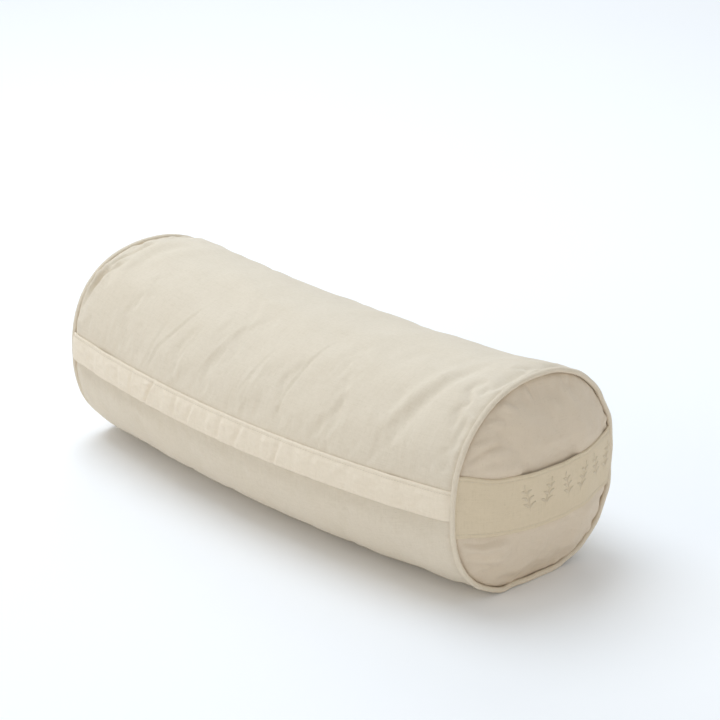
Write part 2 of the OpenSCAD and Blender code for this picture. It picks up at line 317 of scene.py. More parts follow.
def side_angle(x, z):
    """Angle on the zip side at which the cross-section at x has height z."""
    near = near_end(x)
    waist = lerp(WAIST_MID_Z, WAIST_END_Z, near)
    upper = z >= waist
    power = np.where(upper, UPPER_POWER, lerp(LOWER_POWER_MID, LOWER_POWER_END, near))
    above = (z - waist) / (lerp(MID_H, END_H, near) - waist)
    share = np.where(upper, above, (waist - z) / (waist + FLAT_DROP))
    turn = np.arcsin(np.clip(share, 0, 1) ** (power / 2))
    return math.pi + np.where(upper, -turn, turn)


def zip_angle(x, v):
    return side_angle(x, lerp(ZIP_MID_Z, ZIP_END_Z, near_end(x)) + v)


def around(x, floor=0.0):
    """Angles once round the cover from the zip line over the top, and the length of cloth up to each."""
    turns = zip_angle(x, 0.0) - np.linspace(0, 2 * math.pi, ROUND_STEPS + 1)
    points = section(x, turns)
    points[:, 2] = np.maximum(points[:, 2], floor)
    lengths = np.concatenate([[0], np.cumsum(np.linalg.norm(np.diff(points, axis=0), axis=1))])
    return turns, lengths


def on_floor(points, floor=FLOOR_GAP):
    points[..., 2] = np.maximum(points[..., 2], floor)
    return points


# ------------------------ cloth simulation

SIM_FRAMES = 20
FABRIC = {
    "quality": 7,
    "mass": 0.3,
    "tension_stiffness": 25,
    "compression_stiffness": 25,
    "shear_stiffness": 8,
    "bending_stiffness": 0.6,
    "use_pressure": True,
    "uniform_pressure_force": 4,
    "vertex_group_mass": "pins",
    "vertex_group_shrink": "slack",
    "shrink_min": -0.004,
    "shrink_max": -0.035,
}


def simulate(name, points, faces, pins, slack, most):
    """Fills a pinned cloth with air for some frames, and gives each point's movement, cut to most."""
    piece = new_mesh(name, points, faces)
    start = read(piece.data.vertices)
    for label, weights in (("pins", pins), ("slack", slack)):
        group = piece.vertex_groups.new(name=label)
        rounded = np.round(weights.ravel(), 1)
        for weight in np.unique(rounded[rounded > 0]):
            group.add(np.flatnonzero(rounded == weight).tolist(), float(weight), "REPLACE")
    cloth = piece.modifiers.new("cloth", "CLOTH")
    for key, value in FABRIC.items():
        setattr(cloth.settings, key, value)
    cloth.settings.effector_weights.gravity = 0
    cloth.point_cache.frame_start = 1
    cloth.point_cache.frame_end = SIM_FRAMES
    for step in range(1, SIM_FRAMES + 1):
        bpy.context.scene.frame_set(step)
    shown = piece.evaluated_get(bpy.context.evaluated_depsgraph_get())
    moved = read(shown.data.vertices) - start
    bpy.data.objects.remove(piece)
    bpy.context.scene.frame_set(1)
    length = np.linalg.norm(moved, axis=1, keepdims=True)
    return (moved * np.minimum(1, most / np.maximum(length, 1e-9))).reshape(points.shape)


def blurred(field, passes):
    """The slow part of a field over a grid of points."""
    for _ in range(passes):
        for axis in (0, 1):
            padded = np.concatenate([field.take([0], axis), field, field.take([-1], axis)], axis)
            count = padded.shape[axis]
            field = (
                padded.take(range(0, count - 2), axis)
                + 2 * padded.take(range(1, count - 1), axis)
                + padded.take(range(2, count), axis)
            ) / 4
    return field


def finer(field, factor, axis):
    """More rows or columns of a grid of points, on cubic curves through the given ones."""
    field = np.moveaxis(field, axis, 0)
    ends = np.concatenate([2 * field[:1] - field[1:2], field, 2 * field[-1:] - field[-2:-1]])
    before, here, after, beyond = ends[:-3], ends[1:-2], ends[2:-1], ends[3:]
    rows = []
    for k in np.arange(factor) / factor:
        bend = k * k * (2 * before - 5 * here + 4 * after - beyond) + k * (after - before)
        rows.append(here + 0.5 * (bend + k**3 * (3 * here - before - 3 * after + beyond)))
    rows = np.stack(rows, axis=1).reshape(-1, *field.shape[1:])
    return np.moveaxis(np.concatenate([rows, field[-1:]]), 0, axis)


def grid_normals(points):
    rows, cols = np.gradient(points, axis=0), np.gradient(points, axis=1)
    normals = np.cross(rows, cols)
    return normals / np.maximum(np.linalg.norm(normals, axis=-1, keepdims=True), 1e-12)


# ------------------------ the body panel

CELL = 0.006
FINER_ALONG = 3
FINER_ROUND = 2
SEAM_SINK = {1: 0.0012, -1: 0.0026}
SEAM_DIP = 0.0018
SEAM_SPAN = 0.0050
SHOULDER = 0.0016
SHOULDER_AT = 0.036
SHOULDER_SPAN = 0.030
TUCK = 0.0024
TUCK_AT = 0.019
TUCK_SPAN = 0.013
LOW_CALM = 0.7
LOW_CALM_AT = 0.080
LOW_CALM_SPAN = 0.035
PANEL_END_X = SEAM_X - 0.0008
# Beside a seam or the zip, folds and ripples fade in over this much cloth
FADE = 0.03
WIDE_FADE = 0.04
# How far the simulated cloth is slack from the seams and from the zip, and how much of it is kept
SEAM_SLACK = 0.05
ZIP_SLACK = 0.045
BODY_MOST = 0.009
BODY_BLUR = 90
# Unevenness: wavelength, seed, height
SWELL = (0.085, 3, 0.0009)
RIPPLE = (0.030, 4, 0.0003)
GATHER = (0.016, 5, 0.0008)
HEM_WAVE = (0.018, 6, 0.0005)
DRAWN = (0.0095, 7, 0.0002)

# Folds of the body panel in mm: points (along the pillow, round from the zip), depth, width, ridge
BODY_FOLDS = [
    # the deep fold beside the rear piping, and the one that runs into it from above
    ([(-293, 40), (-289.5, 72), (-285.5, 94), (-268, 120)], 6, 3.8, 1.6),
    ([(-288, 94), (-283.5, 122), (-274, 166)], 4.4, 3, 1.4),
    ([(-246, 95), (-255, 148), (-244, 200)], 2.6, 10, 0.8),
    # creases that rise from the upper edge of the flap
    ([(-150, 17), (-143, 47), (-130, 78), (-118, 122)], 1.1, 1.7, 0.6),
    ([(-162, 17), (-153, 38), (-149, 85)], 0.6, 1.9, 0.3),
    ([(-199, 18), (-193, 50)], 0.4, 3, 0.2),
    ([(-110, 18), (-104, 60), (-96, 100)], 0.4, 2, 0.2),
    ([(-96, 18), (-92, 50)], 0.4, 3, 0.2),
    ([(-74, 17), (-66, 52), (-56, 82), (-53, 118)], 0.6, 1.9, 0.3),
    ([(-52, 50), (-52, 84), (-50, 125)], 0.6, 1.8, 0.3),
    ([(-8, 18), (-1, 46), (5, 72), (10, 104)], 0.7, 1.8, 0.4),
    ([(10, 18), (14, 48), (20, 80)], 0.5, 2, 0.2),
    ([(57, 16), (58, 48), (60, 80), (66, 138)], 1.1, 1.7, 0.6),
    ([(112, 18), (129, 55), (141, 80)], 0.7, 4.4, 0.3),
    # the soft fold that runs round beside the front piping
    ([(205, 22), (214, 55), (224, 90), (236, 128), (252, 172)], 3.4, 8.8, 1.6),
    ([(268, 34), (281, 50), (292, 52)], 1.2, 6, 0),
    # the side that the photograph doesn't show
    ([(-240, 330), (-214, 410), (-205, 470)], 2, 7, 0.6),
    ([(-100, 395), (-82, 450), (-78, 500)], 1.4, 5, 0.4),
    ([(45, 360), (52, 430), (44, 500)], 1.4, 5.6, 0.4),
    ([(180, 340), (206, 400), (214, 480)], 2.2, 7.6, 0.8),
]
LOW_FOLDS = [
    ([(-250, -22), (-236, -70)], 1.2, 7, 0),
    ([(-120, -20), (-112, -60)], 0.7, 6, 0),
    ([(60, -20), (52, -64)], 0.7, 6.4, 0),
    ([(262, -30), (287, -46)], 1, 5, 0),
    ([(258, -60), (288, -74)], 1, 5.6, 0),
]


def panel_grid():
    """The body panel from the zip's upper edge over the top to its lower edge, and its cloth coordinates."""
    stations = np.linspace(-PANEL_END_X, PANEL_END_X, round(2 * PANEL_END_X / CELL) + 1)
    girth = around(0.0)[1][-1]
    cols = round(girth / CELL) + 1
    points, weave = [], []
    for x in stations:
        turns, lengths = around(x)
        places = np.linspace(ZIP_OPENING, lengths[-1] - ZIP_OPENING, cols)
        row = on_floor(section(x, np.interp(places, lengths, turns)))
        points.append(row)
        weave.append(np.stack([np.full(cols, x), places, places - lengths[-1]], axis=-1))
    return np.array(points), np.array(weave)


def calm(down):
    """The low panel is drawn flat against the floor, so its unevenness is smaller."""
    return 1 - LOW_CALM * hump(-down - LOW_CALM_AT, LOW_CALM_SPAN)


def gathers(to_seam):
    """Where the small gathers beside a seam show: close to it, but not in the stitching itself."""
    return np.exp(-to_seam / 0.011) * (1 - hump(to_seam, 0.004))


def body_relief(x, up, down):
    """How far each point of the body panel stands out of its plain shape."""
    to_seam = SEAM_X - np.abs(x)
    to_zip = np.minimum(up, -down)
    free = smooth((to_zip - HEM_V) / FADE) * smooth(to_seam / FADE) * calm(down)
    sink = np.where(x > 0, SEAM_SINK[1], SEAM_SINK[-1])
    relief = -(SEAM_DIP + sink) * np.exp(-((to_seam / SEAM_SPAN) ** 1.5))
    relief += smooth((to_zip - HEM_V) / WIDE_FADE) * SHOULDER * hump(to_seam - SHOULDER_AT, SHOULDER_SPAN)
    relief -= TUCK * hump(-down - TUCK_AT, TUCK_SPAN) * smooth(to_seam / FADE)
    relief += free * (ripples(x, up, *SWELL) + ripples(x, up, *RIPPLE))
    # long faint ripples that run round the pillow, strongest just above the flap
    drawn = np.exp(-np.maximum(up - HEM_V, 0) / 0.09) * free
    relief += drawn * ripples(x + 0.10 * up, 0.10 * up, *DRAWN)
    relief += gathers(to_seam) * ripples(0 * x, up, *GATHER) * smooth((to_zip - HEM_V) / 0.01)
    along_hem = np.exp(-np.maximum(to_zip - HEM_V, 0) / 0.014) * smooth((to_zip - HEM_V) / 0.004)
    relief += along_hem * ripples(x, 0 * x, *HEM_WAVE)
    return relief + creases(x, up, BODY_FOLDS) + creases(x, down, LOW_FOLDS)


# How far the cloth of the body and of the ends falls below its plain shape, for what lies under it
DENTS = {}
DENT_ROOM = 0.0008


def body_dent(x, share):
    """Depth that the lining has to give way at x and each share of the way round."""
    stations, shares, fall = DENTS["body"]
    place = np.interp(x, stations, np.arange(len(stations)))
    low = min(int(place), len(stations) - 2)
    near, far = (np.interp(share, shares[k], fall[k]) for k in (low, low + 1))
    return np.maximum(0, -lerp(near, far, place - low) - DENT_ROOM)


def lowest_near(field, rows, cols):
    """The lowest value within some rows and columns of each point of a grid."""
    for axis, reach in ((0, rows), (1, cols)):
        last = field.shape[axis] - 1
        places = np.arange(last + 1)
        near = [field.take(np.clip(places + k, 0, last), axis) for k in range(-reach, reach + 1)]
        field = np.min(near, axis=0)
    return field


def lined_sheet(name, skin, lining, weave):
    """A closed sheet: a fine outer face, and an inner face with fewer points, joined round the border."""
    rows, cols = skin.shape[:2]
    inner = lining[::FINER_ALONG, ::FINER_ROUND]
    inner_weave = weave[::FINER_ALONG, ::FINER_ROUND]
    base = rows * cols
    few_rows, few_cols = inner.shape[:2]
    faces = grid_faces(rows, cols, flip=True) + grid_faces(few_rows, few_cols, base=base)
    for j, way in ((0, 1), (cols - 1, -1)):
        for i in range(few_rows - 1):
            outer = [(i * FINER_ALONG + k) * cols + j for k in range(FINER_ALONG + 1)]
            back = [base + (i + k) * few_cols + j // FINER_ROUND for k in (1, 0)]
            faces.append(tuple((outer + back)[::way]))
    for i, way in ((0, -1), (rows - 1, 1)):
        for j in range(few_cols - 1):
            outer = [i * cols + j * FINER_ROUND + k for k in range(FINER_ROUND + 1)]
            back = [base + i // FINER_ALONG * few_cols + j + k for k in (1, 0)]
            faces.append(tuple((outer + back)[::way]))
    points = np.concatenate([skin.reshape(-1, 3), inner.reshape(-1, 3)])
    weave = np.concatenate([weave.reshape(-1, 3), inner_weave.reshape(-1, 3)])
    return new_mesh(name, points, faces, weave)


def body_cloth(material):
    points, weave = panel_grid()
    x, up, down = weave[..., 0], weave[..., 1], weave[..., 2]
    to_seam = SEAM_X - np.abs(x)
    to_zip = np.minimum(up, -down)
    held = np.clip(np.maximum(1 - to_seam / (1.4 * CELL), (HEM_V + CELL - to_zip) / CELL), 0, 1)
    slack = np.maximum(np.exp(-to_seam / SEAM_SLACK), np.exp(-(to_zip - HEM_V) / ZIP_SLACK))
    faces = grid_faces(*points.shape[:2], flip=True)
    plain = points
    moved = simulate("body_cloth_sim", points, faces, held, np.clip(slack, 0, 1), BODY_MOST)
    free = smooth(np.minimum(to_seam, to_zip - HEM_V) / WIDE_FADE)[..., None]
    points = points + (moved - free * blurred(moved, BODY_BLUR)) * calm(down)[..., None]
    fine = [finer(finer(field, FINER_ALONG, 0), FINER_ROUND, 1) for field in (points, plain, weave)]
    skin, plain, weave = fine
    relief = body_relief(weave[..., 0], weave[..., 1], weave[..., 2])
    normals = grid_normals(skin)
    lining = lowest_near(relief, 2 * FINER_ALONG, 2 * FINER_ROUND) - CANVAS_T
    lining = skin + normals * lining[..., None]
    skin = on_floor(skin + normals * relief[..., None])
    fall = lowest_near(((skin - plain) * grid_normals(plain)).sum(axis=-1), 6, 5)
    DENTS["body"] = (weave[:, 0, 0], weave[..., 1] / (weave[..., 1] - weave[..., 2]), fall)
    piece = lined_sheet("body_panel_cloth", skin, on_floor(lining, CANVAS_T), weave)
    on_cover(piece, material, "body_panel")


# ------------------------ the domed ends

RIM_IN = 0.0018
RIM_BACK = 0.0022
RIM_GUTTER = 0.0025
RIM_GUTTER_W = 0.0032
DISC_CELLS = 36
END_SLACK = 0.03
END_MOST = 0.006
END_BLUR = 40
# Unevenness: wavelength, number added to the end's seed, height
END_RIPPLES = [(0.070, 0, 0.0010), (0.024, 1, 0.0006), (0.011, 3, 0.00024)]
END_GATHER = (0.017, 2, 0.0013)

# Folds of the end panels in mm: points (across, height), depth, width, ridge
FRONT_FOLDS = [
    ([(-93, 148), (-74, 158), (-52, 160)], 2.88, 3.57, 1.2),
    ([(-86, 166), (-62, 172)], 2.34, 3.06, 1),
    ([(-70, 186), (-52, 184)], 2.16, 2.89, 0.8),
    ([(-50, 200), (-34, 190)], 2.52, 3.06, 0.8),
    ([(-20, 210), (-12, 192)], 2.52, 3.23, 0.8),
    ([(30, 208), (26, 190)], 1.8, 3.4, 0),
    ([(-100, 67), (-80, 64), (-58, 69)], 3.6, 2.72, 2),
    ([(-98, 55), (-76, 50), (-50, 54)], 2.16, 3.4, 0.8),
    ([(-90, 40), (-64, 40)], 1.62, 3.74, 0),
    ([(102, 146), (88, 141)], 2.52, 3.4, 0.8),
    ([(94, 58), (72, 66)], 1.8, 3.91, 0),
]
REAR_FOLDS = [
    ([(-98, 130), (-70, 136), (-40, 128)], 3.24, 5.1, 1.2),
    ([(88, 160), (60, 148), (44, 150)], 2.7, 4.42, 1),
    ([(96, 70), (66, 82)], 2.52, 4.25, 0.8),
    ([(-30, 206), (-26, 176)], 2.52, 3.74, 0.8),
    ([(-84, 48), (-58, 60)], 2.16, 4.08, 0),
]


def seam_ring(side, count, out=0.0):
    """Points at even steps of cloth round an end seam, from the zip line over the top."""
    turns, lengths = around(SEAM_X, PIPING_R)
    places = np.linspace(0, lengths[-1], count, endpoint=False)
    turns = np.interp(places, lengths, turns)
    points = section(np.full(count, side * SEAM_X), turns, out - SEAM_SINK[side])
    return on_floor(points, PIPING_R), places, lengths[-1]


def ring_at(side, share, out):
    """Point of the seam ring at each share of the way round."""
    ring, _, _ = seam_ring(side, 720, out)
    places = np.arange(721) / 720
    closed = np.concatenate([ring, ring[:1]])
    return np.stack([np.interp(share % 1, places, closed[:, k]) for k in range(3)], axis=-1)


def disc_grid(side, dome):
    """A square grid laid over a domed disc, with each point's share of the radius and of the way round."""
    steps = np.linspace(-1, 1, DISC_CELLS + 1)
    a, b = np.meshgrid(steps, steps, indexing="ij")
    across, high = a * np.sqrt(1 - b * b / 2), b * np.sqrt(1 - a * a / 2)
    radius = np.clip(np.hypot(across, high), 0, 1)
    share = (np.arctan2(high, -across) / (2 * math.pi)) % 1
    rim = ring_at(side, share, -RIM_IN)
    points = np.empty((*radius.shape, 3))
    points[..., 0] = side * (SEAM_X - RIM_BACK + (dome + RIM_BACK) * (1 - radius**DOME_POWER))
    points[..., 1] = rim[..., 1] * radius
    points[..., 2] = DOME_MID_Z + (rim[..., 2] - DOME_MID_Z) * radius
    return points, radius, share


def rim_gutter(radius):
    """Depth of the groove where the end panel runs down to its seam."""
    return RIM_GUTTER * hump((1 - radius) * END_H / 2, RIM_GUTTER_W)


def end_relief(y, z, radius, share, folds, seed):
    to_rim = (1 - radius) * END_H / 2
    relief = creases(y, z, folds)
    for wavelength, number, height in END_RIPPLES:
        relief += smooth(to_rim / FADE) * ripples(y, z, wavelength, seed + number, height)
    wavelength, number, height = END_GATHER
    round_rim = share * math.pi * END_H
    return relief + gathers(to_rim) * ripples(round_rim, 0 * y, wavelength, seed + number, height)


def end_cloth(name, node, side, dome, folds, seed, material):
    points, radius, share = disc_grid(side, dome)
    to_rim = (1 - radius) * END_H / 2
    held = np.clip(1 - to_rim / CELL, 0, 1)
    slack = 0.5 * np.exp(-to_rim / END_SLACK)
    faces = grid_faces(*points.shape[:2], flip=side < 0)
    moved = simulate(name + "_sim", points, faces, held, slack, END_MOST)
    free = smooth(to_rim / FADE)[..., None]
    plain = points
    points = on_floor(points + moved - free * blurred(moved, END_BLUR))
    relief = end_relief(plain[..., 1], plain[..., 2], radius, share, folds, seed)
    DENTS[side] = lowest_near(side * (points - plain)[..., 0] + relief - rim_gutter(radius), 1, 1)
    weave = np.stack([points[..., 1], points[..., 2], radius], axis=-1)
    piece = new_mesh(name, points, faces, weave)
    modified(piece, "SUBSURF", levels=2, render_levels=2)
    mesh = piece.data
    y, z, radius = read(mesh.attributes["weave"].data, "vector").T
    share = (np.arctan2(z - DOME_MID_Z, -y) / (2 * math.pi)) % 1
    relief = end_relief(y, z, radius, share, folds, seed)
    points = read(mesh.vertices) + read(mesh.vertex_normals, "vector") * relief[:, None]
    points[:, 0] -= side * rim_gutter(np.minimum(radius, 1))
    if side > 0:
        # the end panel gives way under the strap
        under = 1 - smooth((np.abs(points[:, 2] - STRAP_MID_Z) - STRAP_W / 2) / STRAP_FADE)
        room = np.maximum(points[:, 0] - strap_face(points[:, 1], points[:, 2], -STRAP_ROOM), 0)
        points[:, 0] -= room * under
    move_points(piece, on_floor(points))
    modified(piece, "SOLIDIFY", thickness=CANVAS_T, offset=-1)
    on_cover(piece, material, node)


# ------------------------ tubes: piping and its cord

PIPING_SWAY = 0.00045
# Waves of the piping: cycles in one round, and how many times the seed shifts them
PIPING_WAVES = [(7, 1), (11, 2), (19, 0)]


def along_x(points):
    return np.tile([1.0, 0, 0], (len(points), 1))


def ring_normals(points):
    ahead = np.roll(points, -1, axis=0) - np.roll(points, 1, axis=0)
    normals = unit(np.stack([0 * ahead[:, 0], ahead[:, 2], -ahead[:, 1]], axis=-1))
    outward = normals[:, 1] * points[:, 1] + normals[:, 2] * (points[:, 2] - DOME_MID_Z)
    return normals * np.where(outward < 0, -1, 1)[:, None]


def piping(side, name, node, seed, material):
    """The bias-cut sleeve over its cord: slightly wavy, with the fine twist of cloth cut on the bias."""
    count, sides = 480, 16
    path, places, whole = seam_ring(side, count)
    normals = ring_normals(path)
    round_trip = 2 * math.pi * places / whole
    sway = sum(np.sin(cycles * round_trip + times * seed) for cycles, times in PIPING_WAVES)
    path[:, 0] += PIPING_SWAY * 0.6 * sway
    path += normals * (PIPING_SWAY * 0.5 * sway)[:, None]
    angles = angles_round(sides)
    twist = np.sin(160 * round_trip[:, None] + angles[None] + np.sin(5 * round_trip[:, None]))
    slow = np.sin(31 * round_trip[:, None] + 2 * angles[None]) * np.sin(13 * round_trip[:, None] + seed)
    radii = PIPING_R * (0.93 + 0.018 * twist + 0.028 * slow)
    rings = on_floor(rings_round(path, normals, along_x(path), radii, sides), 0.0001)
    run = np.concatenate([[0], np.cumsum(np.linalg.norm(np.diff(path, axis=0), axis=1))])
    weave = np.stack(np.broadcast_arrays(run[:, None], PIPING_R * angles[None], 0.0), axis=-1)
    piece = new_mesh(name, rings, grid_faces(count, sides, True, True), weave)
    on_cover(piece, material, node)


def piping_cord(side, name, node, material):
    """Three strands twisted round each other inside the sleeve."""
    count, sides, turns, lay_r, strand_r = 720, 6, 60, 0.00085, 0.00088
    path, places, whole = seam_ring(side, count)
    normals = ring_normals(path)
    points, faces, weave = [], [], []
    angles = angles_round(sides)
    for strand in range(3):
        phase = 2 * math.pi * (turns * places / whole + strand / 3)
        middle = path + normals * (lay_r * np.cos(phase))[:, None]
        middle[:, 0] += lay_r * np.sin(phase)
        points.append(rings_round(middle, normals, along_x(path), strand_r, sides))
        faces += grid_faces(count, sides, True, True, base=strand * count * sides)
        weave.append(np.stack(np.broadcast_arrays(places[:, None], strand_r * angles[None], 0.0), axis=-1))
    on_cover(new_mesh(name, points, faces, weave), material, node)


# ------------------------ bands of doubled cloth: the flap and the strap


def band(name, places, profile, point_at, weave_at):
    """A closed solid swept along a band: profile is a closed outline of (across, height) pairs."""
    across, height = profile[:, 0], profile[:, 1]
    points = [point_at(place, across, height) for place in places]
    weave = [weave_at(place, across) for place in places]
    return closed_mesh(name, points, capped_faces(len(places), len(profile)), weave)


def sharpen_ends(piece):
    """Keeps the two flat end caps from bending the light on the band's last rows."""
    mesh = piece.data
    mesh.shade_smooth()
    for face in mesh.polygons[-2:]:
        face.use_smooth = False
    sharp = mesh.attributes.get("sharp_edge") or mesh.attributes.new("sharp_edge", "BOOLEAN", "EDGE")
    capped = {tuple(sorted(key)) for face in mesh.polygons[-2:] for key in face.edge_keys}
    for edge in mesh.edges:
        if tuple(sorted(edge.vertices)) in capped:
            sharp.data[edge.index].value = True


def folded_outline(width, under, thickness, edge_rise, groove_at, groove, steps=26):
    """Outline of a doubled band with rolled edges; under gives its lower face across the width."""
    across = np.linspace(width / 2, -width / 2, steps + 1)
    to_edge = width / 2 - np.abs(across)
    face = under(across) + thickness
    face += edge_rise * hump(to_edge - 0.0011, 0.0009)
    face -= groove * hump(to_edge - groove_at, 0.0007)
    face[[0, -1]] -= 0.55 * thickness
    inner = under(across)
    inner[[0, -1]] += 0.25 * thickness
    outer = np.stack([across, face], axis=-1)
    back = np.stack([across, inner], axis=-1)[::-1]
    return np.concatenate([outer, back])


FLAP_T = 0.0016
FLAP_LIFT_V = [-0.015, -0.0114, -0.006, 0, 0.006, 0.0108, 0.015]
FLAP_LIFT = [0.0022, 0.00215, 0.00195, 0.00195, 0.0017, 0.0008, 0.0001]
FLAP_DROP = 0.0033
FLAP_DROP_SPAN = 0.0062
SLIDER_X = sum(corner.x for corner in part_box("zip_slider")) / 2
SLIDER_ROOM = 0.0010
SLIDER_SPAN = 0.014
FLAP_END_X = SEAM_X - 0.0012
FLAP_STITCH_V = 0.0112
FLAP_PITCH = 0.0034
FLAP_STEP = 0.0017

# Unevenness: wavelength, seed, height
FLAP_RIPPLE = (0.014, 11, 0.00042)
FLAP_WAVE = (0.045, 12, 0.0003)

# Pinches of the flap: place along it in mm, lean, width and depth in mm
FLAP_PINCHES = [
    (-250, 0.1, 6, 0.85),
    (-199, 0, 3.6, 1.19),
    (-173, 0.1, 2.6, 1.7),
    (-139, 0.55, 3, 3.23),
    (-118, 0.2, 6, 0.85),
    (-92, 0.3, 3.6, 1.53),
    (-66, 0.4, 3.4, 1.87),
    (-40, 0.1, 6, 0.85),
    (-17, 0.3, 4, 1.7),
    (13, 0.5, 4, 2.04),
    (47, 0, 5, 1.19),
    (73, 0.35, 3.6, 2.04),
    (97, 0.1, 5, 1.02),
    (122, 0.2, 4.6, 1.02),
    (168, 0.1, 7, 0.68),
    (240, -0.2, 7, 0.68),
]


def flap_outline():
    under = lambda across: np.interp(across, FLAP_LIFT_V, FLAP_LIFT)
    return folded_outline(FLAP_W, under, FLAP_T, 0.0004, FLAP_W / 2 - FLAP_STITCH_V, 0.00045)


def flap_waves(x, v):
    """Pinches and unevenness of the flap, which fade towards its sewn upper edge."""
    total = ripples(x, v, *FLAP_RIPPLE) + ripples(x, 0 * v, *FLAP_WAVE)
    for place, lean, width, depth in FLAP_PINCHES:
        reach = (x - place / 1000 - lean * v) * 1000 / width
        total = total + depth / 1000 * (0.5 * hump(reach - 1.7, 1) - hump(reach, 1))
    sewn = 1 - 0.75 * smooth((v - 0.004) / 0.009)
    hemmed = 1 - 0.70 * smooth((-v - 0.009) / 0.006)
    return total * sewn * hemmed * smooth((SEAM_X - np.abs(x)) / 0.02)


def flap_point(x, v, height):
    drop = FLAP_DROP * np.exp(-(((SEAM_X - abs(x)) / FLAP_DROP_SPAN) ** 1.6))
    room = SLIDER_ROOM * hump(abs(x) - SLIDER_X, SLIDER_SPAN)
    waves = flap_waves(x, v)
    return section(np.full(v.shape, x), zip_angle(x, v), height - drop + room + waves)


def flap_piece(name, node, low, high, line, material, thread):
    places = np.linspace(low, high, round((high - low) / FLAP_STEP) + 1)
    piece = band(name, places, flap_outline(), flap_point, lambda x, v: np.stack([x + 0 * v, v, 0 * v], -1))
    bent(piece, material, "placket", "placket", line, capped=True)
    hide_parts(node)
    surface = FLAP_T + np.interp(FLAP_STITCH_V, FLAP_LIFT_V, FLAP_LIFT) - 0.0003
    row = np.array([FLAP_STITCH_V])
    spot_at = lambda x, lift: flap_point(x, row, surface + lift)[0]
    sewn = stitches(name + "_stitching", low, high, FLAP_PITCH, spot_at)
    bent(sewn, thread, "placket", "placket", line)


THREAD_R = 0.00026
STITCH_SIDES = 6
# Rings of one stitch: place along it, rise, size
STITCH_HALF = [(-0.46, -0.75, 0.55), (-0.36, 0.15, 0.95)]
STITCH = STITCH_HALF + [(0.0, 0.55, 1.0)] + [(-share, *rest) for share, *rest in STITCH_HALF[::-1]]


def stitches(name, low, high, pitch, spot_at):
    """A row of sewn stitches, each a short thread that dips into the cloth at both ends.

    spot_at(place, lift) is the point at a place along the row, lifted off the cloth."""
    count = max(1, round(abs(high - low) / pitch))
    step = (high - low) / count
    points, faces = [], []
    for number in range(count):
        middle = low + (number + 0.5) * step
        ahead = unit(spot_at(middle + 0.3 * step, 0) - spot_at(middle - 0.3 * step, 0))
        faces += capped_faces(len(STITCH), STITCH_SIDES, base=len(points))
        for share, rise, size in STITCH:
            place = middle + share * 0.82 * step
            spot = spot_at(place, 0)
            out = unit(spot_at(place, 0.001) - spot)
            across = unit(np.cross(ahead, out))
            core = (spot + rise * THREAD_R * out)[None]
            points.extend(rings_round(core, across[None], out[None], size * THREAD_R, STITCH_SIDES)[0])
    return closed_mesh(name, points, faces)


# ------------------------ the carry strap

STRAP_TILT = 0.0048
STRAP_TUCK = 0.0030
STRAP_HEM = 0.0042
STRAP_ROOM = 0.0012
STRAP_FADE = 0.012
STRAP_PITCH = 0.0036
STRAP_STEPS = 70
# Unevenness: wavelength, seed, height
STRAP_RIPPLE = (0.030, 21, 0.00035)
STRAP_WAVE = (0.055, 22, 0.0005)


def ring_half_width(z):
    """Half width of the end seam at height z."""
    return np.abs(section(SEAM_X + 0 * z, side_angle(SEAM_X + 0 * z, z))[..., 1])


def strap_face(y, z, out=0.0):
    """X of the strap's inner face: it stands off the dome at its upper edge and leans in below."""
    end = ring_half_width(np.clip(z, 0.06, 0.15)) - STRAP_END_IN
    share = np.clip(np.abs(y) / end, 0, 1)
    middle = STRAP_OUT_X - STRAP_T - STRAP_FOOT_X
    lean = lerp(STRAP_TILT, STRAP_TUCK, smooth((z - STRAP_LOW_Z) / STRAP_W)) * smooth((1 - share) / 0.30)
    return STRAP_FOOT_X + middle * (1 - share**STRAP_POWER) - lean + out


def strap_height(share, across):
    """Height of a point across the strap, whose left end is sewn in a little higher."""
    left = smooth((-share - 0.62) / 0.38)
    return STRAP_MID_Z + across + left * lerp(0.004, 0.0075, (across + STRAP_W / 2) / STRAP_W)


def strap_point(share, across, height):
    z = strap_height(share, across)
    y = share * (ring_half_width(z) - STRAP_END_IN)
    ease = smooth((1 - abs(share)) / 0.12)
    waves = ease * (ripples(y, z, *STRAP_RIPPLE) + ripples(y, 0.3 * z, *STRAP_WAVE))
    slope = np.arctan(STRAP_POWER * 0.30 * np.abs(share) ** (STRAP_POWER - 1)) * np.sign(share)
    x = strap_face(y, z) + (height + waves) * np.cos(slope)
    return np.stack([x, y + height * np.sin(slope), z], axis=-1)


def strap_outline():
    return folded_outline(STRAP_W, np.zeros_like, STRAP_T, 0.00035, STRAP_HEM, 0.00018, steps=60)


def strap_half(side, name, node, material, thread):
    places = np.linspace(side * 1.0, 0.0, STRAP_STEPS + 1)
    weave_at = lambda share, across: np.stack([share * END_HALF_W + 0 * across, across, 0 * across], -1)
    piece = band(name, places, strap_outline(), strap_point, weave_at)
    line = [(STRAP_OUT_X, side * half, STRAP_MID_Z) for half in (END_HALF_W, STRAP_MID_HALF)]
    bent(piece, material, "webbing", "handle", line, capped=True)
    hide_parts("handle_strap", node)
    for edge, label in ((1, "upper"), (-1, "lower")):
        row = np.array([edge * (STRAP_W / 2 - STRAP_HEM)])
        spot_at = lambda share, lift: strap_point(share, row, STRAP_T - 0.00005 + lift)[0]
        pitch = STRAP_PITCH / END_HALF_W
        sewn = stitches(f"{name}_{label}_stitching", side * 0.985, 0.0, pitch, spot_at)
        bent(sewn, thread, "webbing", "handle", line)
    return line


# Sprigs sewn on the strap: each is a bent stem with pairs of leaves
SPRIG_STEP = 0.026
SPRIG_H = 0.027
# Pairs of leaves: share of the way up the stem, length
SPRIG_LEAVES = [(0.20, 0.0088), (0.48, 0.0080), (0.76, 0.0066)]
